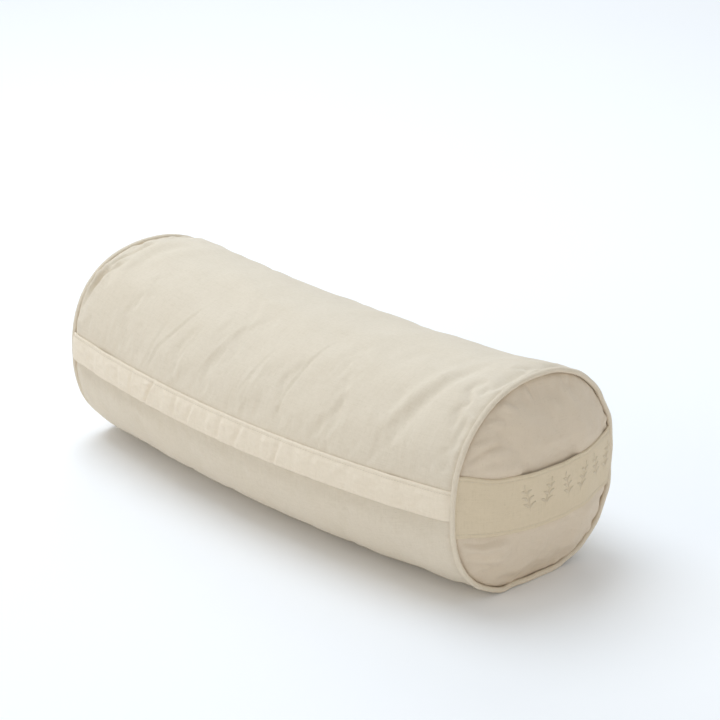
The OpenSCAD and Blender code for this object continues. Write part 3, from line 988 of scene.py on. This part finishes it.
# Outline of a stroke: share of its half width, height
STROKE = [(-1.0, -0.0004), (-0.66, 0.0004), (0.0, 0.0007), (0.66, 0.0004), (1.0, -0.0004)]


def sprig_stroke(start, end, width, bow=0.0, steps=9):
    """A pointed stroke of satin stitch: its middle line as (y, z) points, and its half widths."""
    k = np.linspace(0, 1, steps)
    start, end = np.array(start), np.array(end)
    ahead = end - start
    side = np.array([-ahead[1], ahead[0]])
    middle = start + k[:, None] * ahead + (bow * np.sin(math.pi * k))[:, None] * side
    return middle, width * np.maximum(np.sin(math.pi * k) ** 0.6, 0.12)


def sprig_strokes(y, lean):
    low = STRAP_MID_Z - SPRIG_H / 2 + 0.002
    foot, tip = (y - lean * 0.004, low), (y + lean * 0.004, low + SPRIG_H)
    strokes = [sprig_stroke(foot, tip, 0.0006, 0.05 * lean, 15)]
    for share, size in SPRIG_LEAVES:
        stem = (lerp(foot[0], tip[0], share), lerp(foot[1], tip[1], share))
        for way in (-1, 1):
            out = (stem[0] + way * size * 0.86, stem[1] + size * 0.62)
            strokes.append(sprig_stroke((stem[0] + way * 0.0005, stem[1]), out, 0.0018, 0.12 * way))
    strokes.append(sprig_stroke((tip[0], tip[1] - 0.001), (tip[0], tip[1] + 0.0045), 0.0011))
    return strokes


def embroidery(name, centres, line, material):
    """Domed strokes of thread on the strap's face."""
    points, faces, weave = [], [], []
    for number, y in enumerate(centres):
        for middle, half in sprig_strokes(y, 1 if number % 2 else -1):
            ahead = unit(np.gradient(middle, axis=0))
            across = np.stack([-ahead[:, 1], ahead[:, 0]], axis=-1)
            faces += capped_faces(len(middle), len(STROKE), base=len(points))
            for spot, way, size, run in zip(middle, across, half, np.linspace(0, 1, len(middle))):
                for place, height in STROKE:
                    py, pz = spot + way * place * size
                    share = py / (ring_half_width(np.array(pz)) - STRAP_END_IN)
                    tall = STRAP_T + height * min(1.0, size / 0.0009)
                    points.append(strap_point(share, np.array([pz - STRAP_MID_Z]), tall)[0])
                    weave.append((run * 0.01, place * size, 0.0))
    piece = closed_mesh(name, points, faces, weave)
    bent(piece, material, "webbing", "handle", line)


# ------------------------ the zip

ZIP_LEAN = math.radians(5.3)
CHAIN_IN = 0.00325
COIL_PITCH = 0.00125
COIL_V = 0.00155
COIL_LOOP_IN = 0.00078
COIL_LOOP_UP = 0.00115
WIRE_R = 0.0003


def zip_arc():
    """Centre, radius and tilt of the arc that the zip follows."""
    middle = section(np.array(0.0), zip_angle(np.array(0.0), 0.0))
    end = section(np.array(SEAM_X), zip_angle(np.array(SEAM_X), 0.0))
    dy, dz = end[1] - middle[1], end[2] - middle[2]
    sag = math.hypot(dy, dz)
    radius = (SEAM_X**2 + sag**2) / (2 * sag)
    return middle, math.atan2(dz, dy), radius


def zip_points(turn, u, v):
    """Points at a turn along the zip's arc, u out of the cover and v up it."""
    middle, tilt, radius = zip_arc()
    lean = tilt + ZIP_LEAN
    away = radius + u * math.cos(lean) - v * math.sin(lean)
    rise = u * math.sin(lean) + v * math.cos(lean)
    inward = np.array([0, math.cos(tilt), math.sin(tilt)])
    axis = np.array([0, -math.sin(tilt), math.cos(tilt)])
    centre = middle + radius * inward
    back = -(away * np.cos(turn))[..., None] * inward
    sideways = (away * np.sin(turn))[..., None] * np.array([1.0, 0, 0])
    return centre + back + sideways + rise[..., None] * axis


def zip_coil(side, name, node, material):
    """One row of the coil: a flattened spiral sewn along the tape."""
    radius = zip_arc()[2]
    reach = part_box(node)[1].x
    half_turn = math.asin(reach / radius)
    loops = round(2 * reach / COIL_PITCH)
    per_loop = 10
    steps = np.arange(loops * per_loop + 1)
    phase = 2 * math.pi * steps / per_loop + (math.pi if side < 0 else 0)
    turn = np.linspace(-half_turn, half_turn, len(steps))
    u = -CHAIN_IN + COIL_LOOP_IN * np.sin(phase)
    v = side * (COIL_V + COIL_LOOP_UP * np.cos(phase))
    middle = zip_points(turn, u, v)
    ahead = unit(np.gradient(middle, axis=0))
    across = unit(np.cross(ahead, zip_points(turn, u + 0.001, v) - middle))
    rings = rings_round(middle, across, np.cross(across, ahead), WIRE_R, sides=5)
    on_cover(closed_mesh(name, rings, capped_faces(len(steps), 5)), material, node)


# ------------------------ the liner and the fill

LINER_T = 0.0008
LINER_IN = 0.0030
LINER_END_X = SEAM_X - 0.0035
LINER_DISC_IN = 0.0016
LINER_DISC_BACK = 0.0026
DISC_CRUMPLE = 0.0006
DISC_CRUMPLE_LONG = 0.020
FILL_IN = 0.0058
FILL_COLS = 180
FILL_END_X = LINER_END_X - 0.007
# The fill's rings on its ends, as shares of the radius
FILL_RINGS = [0.16, 0.34, 0.5, 0.64, 0.77, 0.88, 0.96]
# Unevenness: wavelength, seed, height
CRUMPLE = (0.022, 31, 0.0011)
GRAIN = (0.009, 42, 0.0004)
GRAIN_ACROSS = (0.009, 43, 0.0004)
# The dent behind the zip: distances from it, and the depth at each
CHANNEL_TO_ZIP = [0.0, 0.008, 0.017, 0.028]
CHANNEL_DEPTH = [0.0046, 0.0046, 0.0032, 0.0]


def crumpled(u, v, wavelength, seed, height):
    """Unevenness that only ever goes inwards."""
    return np.maximum(height + ripples(u, v, wavelength, seed, height), 0) / 2


def inner_ring(x, inwards, cols, crumple=None):
    """A closed ring inside the cover, dented behind the zip and crumpled inwards."""
    turns, lengths = around(x)
    places = np.linspace(0, lengths[-1], cols, endpoint=False)
    channel = np.interp(np.minimum(places, lengths[-1] - places), CHANNEL_TO_ZIP, CHANNEL_DEPTH)
    depth = inwards + channel + body_dent(x, places / lengths[-1])
    if crumple is not None:
        depth += crumpled(x + 0 * places, places, *crumple)
    row = section(x + 0 * places, np.interp(places, lengths, turns), -depth)
    return on_floor(row, inwards), places


def liner_body(material):
    stations = np.linspace(-LINER_END_X, LINER_END_X, 91)
    rows = [inner_ring(x, LINER_IN, 110, CRUMPLE) for x in stations]
    points = np.array([row for row, _ in rows])
    weave = [np.stack([x + 0 * places, places], -1) for x, (_, places) in zip(stations, rows)]
    piece = new_mesh("liner_bag", points, grid_faces(*points.shape[:2], wrap_cols=True, flip=True), weave)
    modified(piece, "SOLIDIFY", thickness=LINER_T, offset=-1)
    on_cover(piece, material, "liner_body")


def liner_disc(name, node, side, dome, seed, material):
    points, _, _ = disc_grid(side, dome)
    shrink = 1 - LINER_DISC_IN / DOME_MID_Z
    points[..., 1] *= shrink
    points[..., 2] = DOME_MID_Z + (points[..., 2] - DOME_MID_Z) * shrink
    depth = LINER_DISC_BACK + np.maximum(0, -DENTS[side] - DENT_ROOM)
    depth += crumpled(points[..., 1], points[..., 2], DISC_CRUMPLE_LONG, seed, DISC_CRUMPLE)
    points[..., 0] -= side * depth
    piece = new_mesh(name, points, grid_faces(*points.shape[:2], flip=side < 0), points[..., 1:])
    modified(piece, "SOLIDIFY", thickness=LINER_T, offset=-1)
    on_cover(piece, material, node)


def filling(material):
    """The loose fill: one closed mass with a grainy surface."""
    ends = {}
    for side, dome in ((-1, REAR_DOME), (1, FRONT_DOME)):
        ends[side] = []
        for share in FILL_RINGS:
            row, _ = inner_ring(side * FILL_END_X, FILL_IN + 0.0010, FILL_COLS)
            row[:, 1] *= share
            row[:, 2] = DOME_MID_Z + (row[:, 2] - DOME_MID_Z) * share
            row[:, 0] = side * (SEAM_X - 0.0090 + (dome - 0.001) * (1 - share**DOME_POWER))
            ends[side].append(row)
    stations = np.linspace(-FILL_END_X, FILL_END_X, 116)
    rings = ends[-1] + [inner_ring(x, FILL_IN, FILL_COLS)[0] for x in stations] + ends[1][::-1]
    piece = closed_mesh("loose_fill", rings, capped_faces(len(rings), FILL_COLS))
    spots = read(piece.data.vertices)
    grain = ripples(spots[:, 0], spots[:, 1] + spots[:, 2], *GRAIN, waves=30)
    grain += ripples(spots[:, 1], spots[:, 2] - spots[:, 0], *GRAIN_ACROSS, waves=30)
    sunk = read(piece.data.vertex_normals, "vector") * np.abs(grain)[:, None]
    move_points(piece, spots - sunk)
    on_cover(piece, material, "filling")


LABEL_IN = 0.0021
LABEL_T = 0.0004
LABEL_RIPPLE = (0.012, 71, 0.0002)


def care_label(node, material):
    """The blank tag between cover and liner, below the zip: it lies against the back of the cover."""
    low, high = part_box(node)
    rows, weave = [], []
    for x in np.linspace(low.x, high.x, 25):
        turns, lengths = around(x)
        heights = section(x, turns)[:, 2]
        side = turns < -math.pi / 2
        drop = np.interp([low.z, high.z], heights[side], lengths[side])
        places = np.linspace(*drop, 21)
        uneven = np.abs(ripples(x + 0 * places, places, *LABEL_RIPPLE))
        depth = LABEL_IN + body_dent(x, places / lengths[-1]) + uneven
        rows.append(section(x + 0 * places, np.interp(places, lengths, turns), -depth))
        weave.append(np.stack([x + 0 * places, places], axis=-1))
    piece = new_mesh("side_label", rows, grid_faces(len(rows), len(rows[0]), flip=True), weave)
    modified(piece, "SOLIDIFY", thickness=LABEL_T, offset=-1)
    on_cover(piece, material, node)


# ------------------------ materials


class Nodes:
    """A material's node tree, with a short way to add and join nodes; where is the place it reads."""

    def __init__(self, name, by_weave=False):
        self.material = bpy.data.materials.new(name)
        self.material.use_nodes = True
        self.tree = self.material.node_tree
        self.shader = self.tree.nodes["Principled BSDF"]
        if by_weave:
            self.where = self.add("Attribute", attribute_name="weave").outputs["Vector"]
        else:
            self.where = self.add("TexCoord").outputs["Object"]

    def add(self, kind, inputs=None, **settings):
        node = self.tree.nodes.new("ShaderNode" + kind)
        for key, value in settings.items():
            setattr(node, key, value)
        for key, value in (inputs or {}).items():
            self.put(value, node.inputs[key])
        return node

    def put(self, value, socket):
        if isinstance(value, bpy.types.NodeSocket):
            self.tree.links.new(value, socket)
        else:
            socket.default_value = value

    def math(self, operation, a, b=0.0):
        return self.add("Math", {0: a, 1: b}, operation=operation).outputs[0]

    def plus(self, first, *others):
        for other in others:
            first = self.math("ADD", first, other)
        return first

    def times(self, a, b):
        return self.math("MULTIPLY", a, b)

    def sine(self, value, number):
        return self.math("SINE", self.times(value, number))

    def noise(self, scale, detail=2.0, roughness=0.5, stretch=None):
        where = self.where
        if stretch is not None:
            where = self.add("Mapping", {"Vector": where, "Scale": stretch}).outputs[0]
        inputs = {"Vector": where, "Scale": scale, "Detail": detail, "Roughness": roughness}
        return self.add("TexNoise", inputs).outputs["Fac"]

    def cells(self, scale):
        """Distance to the nearest of many scattered points, and a random share for each point."""
        node = self.add("TexVoronoi", {"Vector": self.where, "Scale": scale, "Randomness": 1.0})
        share = self.add("SeparateColor", {0: node.outputs["Color"]}).outputs[0]
        return node.outputs["Distance"], share

    def mix(self, amount, a, b):
        return self.add("Mix", {"Factor": amount, 6: a, 7: b}, data_type="RGBA").outputs[2]

    def spread(self, value, low, high):
        """Maps a value from 0..1 to low..high."""
        return self.add("MapRange", {"Value": value, "To Min": low, "To Max": high}).outputs[0]

    def bump(self, height, distance, strength, normal=None):
        inputs = {"Height": height, "Distance": distance, "Strength": strength}
        if normal is not None:
            inputs["Normal"] = normal
        return self.add("Bump", inputs).outputs[0]

    def finish(self, colour, roughness, normal=None, sheen=0.0, metallic=0.0, specular=0.5):
        inputs = {"Base Color": colour, "Roughness": roughness, "Sheen Weight": sheen, "Sheen Roughness": 0.5}
        inputs.update({"Metallic": metallic, "Specular IOR Level": specular})
        if normal is not None:
            inputs["Normal"] = normal
        for key, value in inputs.items():
            self.put(value, self.shader.inputs[key])
        return self.material


def rgba(colour, factor=1.0):
    return (*(channel * factor for channel in colour), 1.0)


def cloth_material(name, colour, thread, bias=False, seeds=0.35, warmth=0.05, grain=1.0):
    """Plain-woven cloth: threads of uneven thickness, slubs, faint clouds of tone and a few seed flecks.

    thread is the spacing of the threads, bias turns them by 45 degrees, and grain scales the contrast."""
    red, green, blue = colour
    n = Nodes(name, by_weave=True)
    if bias:
        n.where = n.add("Mapping", {"Vector": n.where, "Rotation": (0, 0, math.radians(45))}).outputs[0]
    wander = n.add("TexNoise", {"Vector": n.where, "Scale": 90.0, "Detail": 2.0}).outputs["Color"]
    shift = n.add("VectorMath", {0: wander, 1: (thread * 1.6,) * 3}, operation="MULTIPLY").outputs[0]
    bent = n.add("VectorMath", {0: n.where, 1: shift}, operation="ADD").outputs[0]
    parts = n.add("SeparateXYZ", {"Vector": bent}).outputs
    warp, weft = n.sine(parts[0], math.pi / thread), n.sine(parts[1], math.pi / thread)
    valleys = n.plus(n.math("ABSOLUTE", warp), n.math("ABSOLUTE", weft))
    height = n.plus(n.times(n.times(warp, weft), 0.5), n.times(valleys, 0.5))
    slubs = n.plus(n.noise(1.0, stretch=(45.0, 1100.0, 45.0)), n.noise(1.0, stretch=(1100.0, 45.0, 45.0)))
    clouds = n.noise(16.0, 4.0, 0.6)
    mottle = n.noise(260.0, 3.0, 0.65)
    tone = n.plus(
        n.spread(slubs, -0.34 * grain, 0.34 * grain),
        n.spread(clouds, -0.16, 0.16),
        n.spread(mottle, -0.30 * grain, 0.30 * grain),
        n.spread(height, -0.06 * grain, 0.05 * grain),
        0.5,
    )
    lighter = rgba((min(red * 1.10, 0.95), min(green * 1.11, 0.94), min(blue * 1.15, 0.92)))
    shade = n.mix(tone, rgba((red * 0.84, green * 0.82, blue * 0.77)), lighter)
    warm = rgba((red, green * (1 - warmth * 0.7), blue * (1 - warmth * 2.0)))
    shade = n.mix(n.times(n.noise(7.0), 0.35), shade, warm)
    if seeds:
        distance, share = n.cells(95.0)
        fleck = n.times(n.math("LESS_THAN", distance, 0.045), n.math("GREATER_THAN", share, 0.93))
        shade = n.mix(n.times(fleck, seeds), shade, rgba((0.24, 0.18, 0.11)))
    fuzz = n.bump(mottle, 0.00022, 0.55)
    normal = n.bump(height, 0.00017, 0.75, n.bump(slubs, 0.00016, 0.6, fuzz))
    return n.finish(shade, n.spread(mottle, 0.82, 0.96), normal, sheen=0.12, specular=0.25)


def thread_material(name, colour, pitch=0.0006, by_weave=False):
    """Sewing thread or cord: fine twisted fibres."""
    n = Nodes(name, by_weave)
    parts = n.add("SeparateXYZ", {"Vector": n.where}).outputs
    slanted = n.plus(parts[0], n.times(parts[1], 0.8), n.times(parts[2], 0.6))
    twist = n.sine(slanted, 2 * math.pi / pitch)
    fibres = n.noise(1400.0, 3.0)
    tone = n.plus(n.spread(twist, 0.42, 0.58), n.spread(fibres, -0.2, 0.2))
    shade = n.mix(tone, rgba(colour, 0.86), rgba(colour, 1.08))
    normal = n.bump(twist, 0.00008, 0.6, n.bump(fibres, 0.00005, 0.5))
    return n.finish(shade, n.spread(fibres, 0.6, 0.85), normal, sheen=0.2, specular=0.35)


def tape_material(name, colour):
    """Herringbone zip tape."""
    n = Nodes(name)
    parts = n.add("SeparateXYZ", {"Vector": n.where}).outputs
    slant = n.sine(n.plus(parts[0], n.math("PINGPONG", parts[2], 0.0012)), 2 * math.pi / 0.0007)
    fibres = n.noise(900.0, 3.0)
    tone = n.plus(n.spread(slant, 0.35, 0.65), n.spread(fibres, -0.18, 0.18))
    shade = n.mix(tone, rgba(colour, 0.8), rgba(colour, 1.08))
    return n.finish(shade, n.spread(fibres, 0.7, 0.9), n.bump(slant, 0.0001, 0.8), sheen=0.1, specular=0.3)


def metal_material(name, colour):
    """Tumbled nickel with faint scratches and worn, brighter edges."""
    n = Nodes(name)
    scratches = n.noise(1.0, 3.0, stretch=(300.0, 300.0, 4000.0))
    edge = n.spread(n.add("NewGeometry").outputs["Pointiness"], -0.6, 1.6)
    tone = n.plus(n.spread(scratches, 0.2, 0.6), n.times(edge, 0.25))
    shade = n.mix(tone, rgba(colour, 0.82), rgba(colour, 1.18))
    normal = n.bump(scratches, 0.00003, 0.4, n.bump(n.noise(2600.0), 0.00003, 0.35))
    return n.finish(shade, n.spread(scratches, 0.24, 0.42), normal, metallic=1.0)


def plastic_material(name, colour):
    """The coil's monofilament: smooth, a little glossy, with faint dye streaks."""
    n = Nodes(name)
    streaks = n.noise(1.0, 3.0, stretch=(60.0, 900.0, 900.0))
    shade = n.mix(streaks, rgba(colour, 0.9), rgba(colour, 1.08))
    return n.finish(shade, n.spread(streaks, 0.34, 0.5), n.bump(streaks, 0.00003, 0.4), specular=0.45)


def fill_material(name, colour):
    """Small hulls packed together, each of its own tone."""
    n = Nodes(name)
    distance, share = n.cells(190.0)
    shade = n.mix(share, rgba(colour, 0.55), rgba(colour, 1.25))
    normal = n.bump(n.math("SUBTRACT", 1.0, distance), 0.0012, 0.8)
    return n.finish(shade, n.spread(share, 0.6, 0.85), normal, specular=0.3)


def paint_node(node, material):
    """Gives a carried-over CAD node its material."""
    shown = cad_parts[node]
    if not shown.material_slots:
        shown.data.materials.append(material)
    for place in shown.material_slots:
        place.material = material


# ------------------------ the studio

# Lights: turn from the camera, rise, distance, size, power, colour
LIGHTS = {
    "key": (-133, 68, 2.6, 2.2, 42.0, (0.82, 0.905, 1.0)),
    "left_fill": (-58, 20, 3.2, 1.6, 15.5, (1.0, 0.90, 0.75)),
    "right_fill": (42, 3, 3.2, 1.2, 11.0, (1.0, 0.84, 0.62)),
    "floor_light": (180, 34, 5.0, 3.0, 45.0, (0.92, 0.96, 1.0)),
}
FLOOR_HALF = 20.0
FLOOR_TONES = rgba((0.945, 0.945, 0.95)), rgba((0.955, 0.955, 0.96))
WORLD_COLOUR = rgba((0.92, 0.965, 1.0))
WORLD_STRENGTH = 0.57


def make_studio():
    corners = [(x * FLOOR_HALF, y * FLOOR_HALF, 0) for x, y in ((-1, -1), (1, -1), (1, 1), (-1, 1))]
    floor = new_mesh("studio_floor", corners, [(0, 1, 2, 3)])
    n = Nodes("studio_floor")
    floor.data.materials.append(n.finish(n.mix(n.noise(3.0), *FLOOR_TONES), 0.9, specular=0.1))
    world = bpy.data.worlds.new("studio")
    world.use_nodes = True
    world.node_tree.nodes["Background"].inputs["Color"].default_value = WORLD_COLOUR
    world.node_tree.nodes["Background"].inputs["Strength"].default_value = WORLD_STRENGTH
    bpy.context.scene.world = world
    for name, (turn, rise, away, size, power, colour) in LIGHTS.items():
        data = bpy.data.lights.new(name, "AREA")
        data.shape = "DISK"
        data.size = size
        data.energy = power
        data.color = colour
        spot = from_target(CAMERA_TURN + math.radians(turn), math.radians(rise), away)
        aimed(bpy.data.objects.new(name, data), spot)
    bpy.context.scene.view_settings.view_transform = "Standard"


# ------------------------ making everything

make_camera()
make_studio()

canvas = cloth_material("canvas", (0.712, 0.628, 0.500), 0.00062)
# The ends are the body's canvas made darker and warmer: painted shade, as they face away from the light.
end_canvas_painted_shade = cloth_material("end_canvas_painted_shade", (0.680, 0.574, 0.440), 0.00062, grain=1.8)
# The flap's strip is the body's canvas made lighter: painted light.
strip_canvas_painted_light = cloth_material("strip_canvas_painted_light", (0.815, 0.718, 0.575), 0.00062)
# The strap is the body's canvas made darker and warmer: painted shade.
band_canvas_painted_shade = cloth_material("band_canvas_painted_shade", (0.670, 0.562, 0.400), 0.00075, grain=1.5)
piping_cloth = cloth_material("piping_cloth", (0.745, 0.655, 0.520), 0.00055, bias=True, seeds=0.0)
liner_cloth = cloth_material("liner_cloth", (0.80, 0.79, 0.75), 0.00045, seeds=0.0, warmth=0.02)
label_cloth = cloth_material("label_cloth", (0.85, 0.84, 0.81), 0.0004, seeds=0.0, warmth=0.0)
thread = thread_material("thread", (0.735, 0.645, 0.510))
satin = thread_material("satin_thread", (0.690, 0.580, 0.425), 0.0005)
cord_fibre = thread_material("cord_fibre", (0.80, 0.77, 0.69), 0.0012, by_weave=True)
tape = tape_material("zip_tape", (0.66, 0.60, 0.49))
coil = plastic_material("zip_coil", (0.66, 0.60, 0.49))
nickel = metal_material("nickel", (0.60, 0.58, 0.54))
hulls = fill_material("hulls", (0.36, 0.26, 0.15))

body_cloth(canvas)
end_cloth("front_end_cloth", "front_end_panel", 1, FRONT_DOME, FRONT_FOLDS, 51, end_canvas_painted_shade)
end_cloth("rear_end_cloth", "rear_end_panel", -1, REAR_DOME, REAR_FOLDS, 61, end_canvas_painted_shade)
ends = ((1, "front", 1), (-1, "rear", 2))
for side, end, seed in ends:
    piping(side, f"{end}_piping", f"{end}_piping_sleeve", seed, piping_cloth)
for side, end, _ in ends:
    piping_cord(side, f"{end}_twisted_cord", f"{end}_piping_cord", cord_fibre)

flap_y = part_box("placket_strip")[0].y
hinge = ((0, flap_y, FLAP_TOP_Z), (0, flap_y, FLAP_EDGE_Z))
flap_piece("flap_middle", "placket_strip", -FLAP_HALF_LEN, FLAP_HALF_LEN, hinge, strip_canvas_painted_light, thread)
slant = np.array([SEAM_X - FLAP_HALF_LEN, FLAP_EDGE_Z + 0.005 - FLAP_TOP_Z])
for way, label in ((1, "front"), (-1, "rear")):
    # the line from the sewn edge at the middle piece to the free edge at the seam
    corner = np.array([0.0, FLAP_EDGE_Z - FLAP_TOP_Z])
    foot = slant * (corner @ slant) / (slant @ slant)
    start = (way * (FLAP_HALF_LEN + foot[0]), flap_y, FLAP_TOP_Z + foot[1])
    line = (start, (way * FLAP_HALF_LEN, flap_y, FLAP_EDGE_Z))
    low, high = sorted((way * FLAP_HALF_LEN, way * FLAP_END_X))
    flap_piece(f"flap_{label}_end", f"placket_end_{label}", low, high, line, strip_canvas_painted_light, thread)

lines = {}
for side, label in ((-1, "left"), (1, "right")):
    lines[side] = strap_half(side, f"strap_{label}", f"handle_end_{label}", band_canvas_painted_shade, thread)
sprig_places = [SPRIG_STEP * (number + 0.5) for number in range(-2, 4)]
for side, label in ((-1, "left"), (1, "right")):
    embroidery(f"embroidery_{label}", [y for y in sprig_places if y * side > 0], lines[side], satin)
for side, label in ((1, "upper"), (-1, "lower")):
    zip_coil(side, f"coil_{label}", f"zip_teeth_{label}", coil)

liner_body(liner_cloth)
liner_disc("liner_front", "liner_front_disc", 1, FRONT_DOME, 33, liner_cloth)
liner_disc("liner_rear", "liner_rear_disc", -1, REAR_DOME, 34, liner_cloth)
filling(hulls)
care_label("care_label", label_cloth)

for node in ("zip_tape_upper", "zip_tape_lower"):
    paint_node(node, tape)
for node in ("zip_top_stop", "zip_bottom_stop", "zip_slider", "zip_pull"):
    paint_node(node, nickel)
